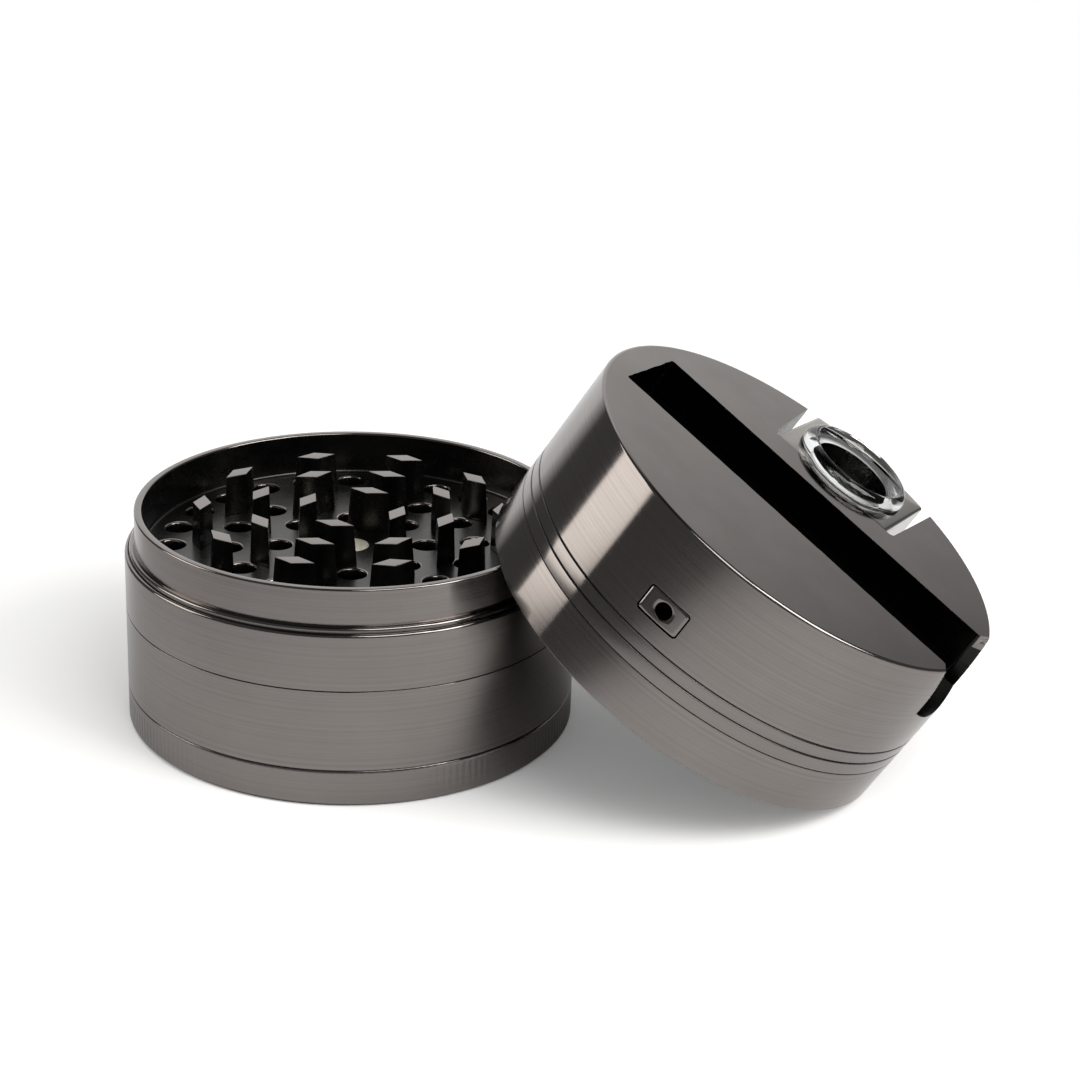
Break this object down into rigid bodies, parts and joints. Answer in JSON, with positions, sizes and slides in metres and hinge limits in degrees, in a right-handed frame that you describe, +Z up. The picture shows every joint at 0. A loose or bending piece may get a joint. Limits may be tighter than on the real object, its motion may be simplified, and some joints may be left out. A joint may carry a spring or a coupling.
{
  "type": "herb grinder with pipe lid",
  "caption": "Stacked metal herb grinder: tray, sieve chamber, toothed grinding chamber, and a loose lid with glass pipe bowl, pull-out mouthpiece and storage slot.",
  "frame": {"origin": "centre of the base's flat foot, on the surface that it stands on", "axes": "+Z up along the base's axis; +X towards the side that the lid leans to"},
  "size_m": [0.1203, 0.063, 0.0555],
  "materials": {
    "gunmetal": "satin black-nickel plating with fine turned lines",
    "bright_nickel": "bright nickel plating",
    "sieve_steel": "satin stainless steel",
    "nylon": "matte polymer",
    "soft_seal": "matte silicone",
    "clear_glass": "clear fire-polished glass"
  },
  "bodies": {
    "tray": {"kief_tray": "gunmetal"},
    "collection": {"collection_chamber": "gunmetal", "sieve_screen": "sieve_steel", "screen_ring": "sieve_steel"},
    "chamber": {"grinding_chamber": "gunmetal", "chamber_teeth": "gunmetal", "chamber_magnet": "bright_nickel"},
    "slip": {"slip_ring": "nylon"},
    "lid": {"lid_cap": "gunmetal", "lid_tooth_ring": "gunmetal", "lid_teeth": "gunmetal", "lid_magnet": "bright_nickel", "notch_magnets": "bright_nickel", "air_seal": "soft_seal", "mouthpiece_stop_pin": "sieve_steel"},
    "block": {"bowl_block": "gunmetal", "block_magnets": "bright_nickel", "bowl_seal": "soft_seal"},
    "glass": {"glass_bowl": "clear_glass"},
    "mouthpiece": {"mouthpiece": "gunmetal"}
  },
  "joints": [
    {"name": "collection_lift", "type": "slide", "parent": "tray", "child": "collection", "axis": [0, 0, 1], "range_m": [0, 0.03]},
    {"name": "chamber_lift", "type": "slide", "parent": "collection", "child": "chamber", "axis": [0, 0, 1], "range_m": [0, 0.03]},
    {"name": "lid_lift", "type": "slide", "parent": "chamber", "child": "slip", "axis": [0.5329, 0, 0.8462], "range_m": [0, 0.06]},
    {"name": "lid_turn", "type": "hinge", "parent": "slip", "child": "lid", "pos_m": [0.0484, 0, 0.01673], "axis": [0.5329, 0, 0.8462], "continuous": true},
    {"name": "block_slide", "type": "slide", "parent": "lid", "child": "block", "axis": [0.2162, 0.9668, -0.1361], "range_m": [0, 0.02]},
    {"name": "glass_lift", "type": "slide", "parent": "block", "child": "glass", "axis": [0.5329, 0, 0.8462], "range_m": [0, 0.014]},
    {"name": "mouthpiece_pull", "type": "slide", "parent": "lid", "child": "mouthpiece", "axis": [-0.2162, -0.9668, 0.1361], "range_m": [0, 0.012]}
  ]
}
